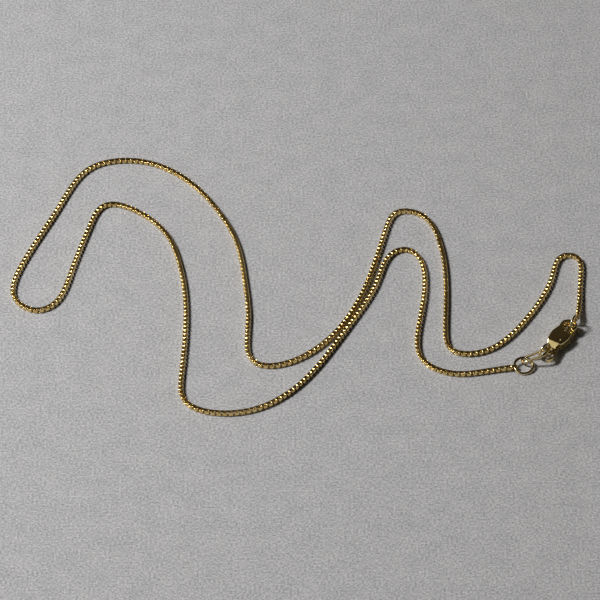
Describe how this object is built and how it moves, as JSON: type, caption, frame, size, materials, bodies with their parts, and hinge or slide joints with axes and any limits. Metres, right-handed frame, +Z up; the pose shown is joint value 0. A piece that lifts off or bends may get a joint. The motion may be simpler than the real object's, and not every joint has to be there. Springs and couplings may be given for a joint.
{
  "type": "box chain necklace",
  "caption": "Fine gold box chain necklace with a lobster clasp, fastened and laid out in loose waves on a flat surface.",
  "frame": {"origin": "middle of the necklace's bounding box in plan, at the surface it lies on", "axes": "+X along the longest extent of the laid-out chain, towards the clasp; +Y across it, away from the viewer; +Z up from the surface"},
  "size_m": [0.0992, 0.0668, 0.0032],
  "materials": {
    "chain_gold": "polished yellow gold, facets bright and gaps dark",
    "ring_gold": "polished yellow gold",
    "clasp_gold": "polished yellow gold, domed faces"
  },
  "bodies": {
    "root": {"chain_a": "chain_gold", "chain_b": "chain_gold", "end_link_a": "chain_gold", "end_link_b": "chain_gold", "jump_ring": "ring_gold", "oval_link": "ring_gold", "clasp_ring": "ring_gold", "clasp_body": "clasp_gold", "clasp_pin": "clasp_gold", "end_ring": "ring_gold"},
    "lever": {"clasp_lever": "clasp_gold"}
  },
  "joints": [
    {"name": "lever_swing", "type": "hinge", "parent": "root", "child": "lever", "pos_m": [0.04422, -0.01703, 0.001], "axis": [0, 0, 1], "range_deg": [0, 20], "stiffness_Nm_per_rad": 0.002, "springref_deg": -5.73}
  ]
}
